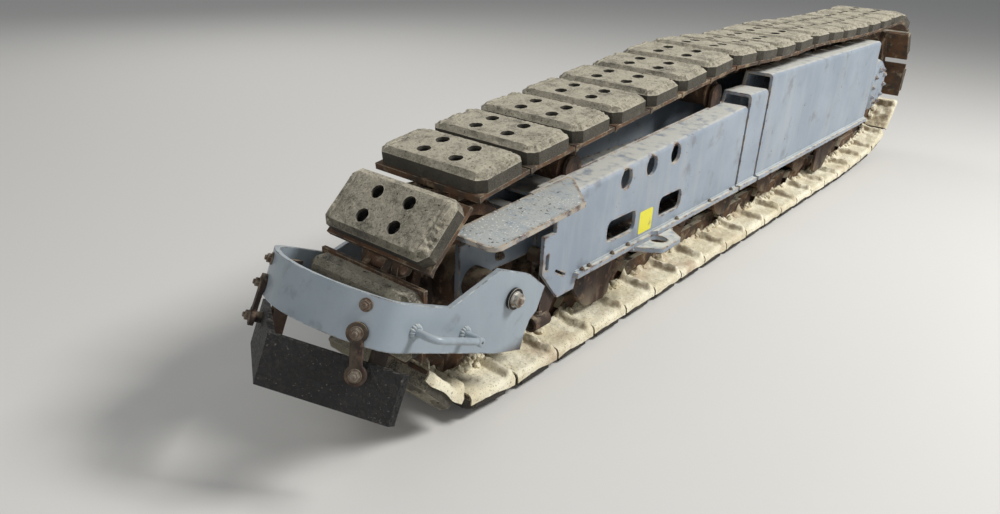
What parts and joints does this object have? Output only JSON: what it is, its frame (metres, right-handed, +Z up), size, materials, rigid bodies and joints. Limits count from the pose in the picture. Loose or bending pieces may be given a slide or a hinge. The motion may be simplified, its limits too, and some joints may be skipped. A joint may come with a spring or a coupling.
{
  "type": "asphalt paver crawler track unit",
  "caption": "Left crawler track unit of an asphalt paver: padded chain on a welded frame with rollers, idler, drive and a hinged deflector plough",
  "frame": {"origin": "on the ground under the track's centreline, in the middle of the bottom roller row", "axes": "+X outboard, to the machine's left side; -Y is the direction of travel; +Z up"},
  "size_m": [0.592, 3.886, 0.7477],
  "materials": {
    "chain_steel": "worn rolled steel, brown with dried road dust",
    "pad_rubber": "grey rubber, dusty and scuffed",
    "frame_paint": "light blue grey machine paint, chipped to rust at its edges",
    "rusty_iron": "bare cast iron with brown rust and grease",
    "rusty_steel": "bare plate with brown rust",
    "tarred_steel": "plate coated with tar and dust",
    "pin_steel": "turned steel, dull and stained",
    "motor_iron": "dark painted casting, dusty"
  },
  "bodies": {
    "root": {"track_chain": "chain_steel", "track_pads": "pad_rubber", "idler_wheel": "rusty_iron", "idler_axle": "pin_steel", "pivot_cap_outer": "pin_steel", "pivot_cap_inner": "pin_steel", "idler_yoke": "frame_paint", "track_tensioner": "rusty_steel", "track_frame": "frame_paint", "carrier_bracket_1": "rusty_steel", "carrier_bracket_2": "rusty_steel", "front_side_box": "frame_paint", "middle_side_box": "frame_paint", "rear_side_box": "frame_paint", "step_plate": "frame_paint", "tie_down_eye": "frame_paint", "sprocket": "chain_steel", "final_drive": "frame_paint", "drive_mount": "frame_paint", "drive_motor": "motor_iron", "chassis_stub_front": "frame_paint", "chassis_stub_rear": "frame_paint", "chain_guides": "rusty_steel", "socket_tube": "rusty_steel", "bottom_roller_1": "rusty_iron", "bottom_roller_2": "rusty_iron", "bottom_roller_3": "rusty_iron", "bottom_roller_4": "rusty_iron", "bottom_roller_5": "rusty_iron", "bottom_roller_6": "rusty_iron", "bottom_roller_7": "rusty_iron", "carrier_roller_1": "rusty_iron", "carrier_roller_2": "rusty_iron", "carrier_roller_3": "rusty_iron"},
    "deflector": {"deflector_bow": "frame_paint", "deflector_handle": "frame_paint", "plough_blade": "tarred_steel", "blade_hangers": "tarred_steel"}
  },
  "joints": [
    {"name": "deflector_swing", "type": "hinge", "parent": "root", "child": "deflector", "pos_m": [0, -1.421, 0.311], "axis": [1, 0, 0], "range_deg": [0, 23.5]}
  ]
}
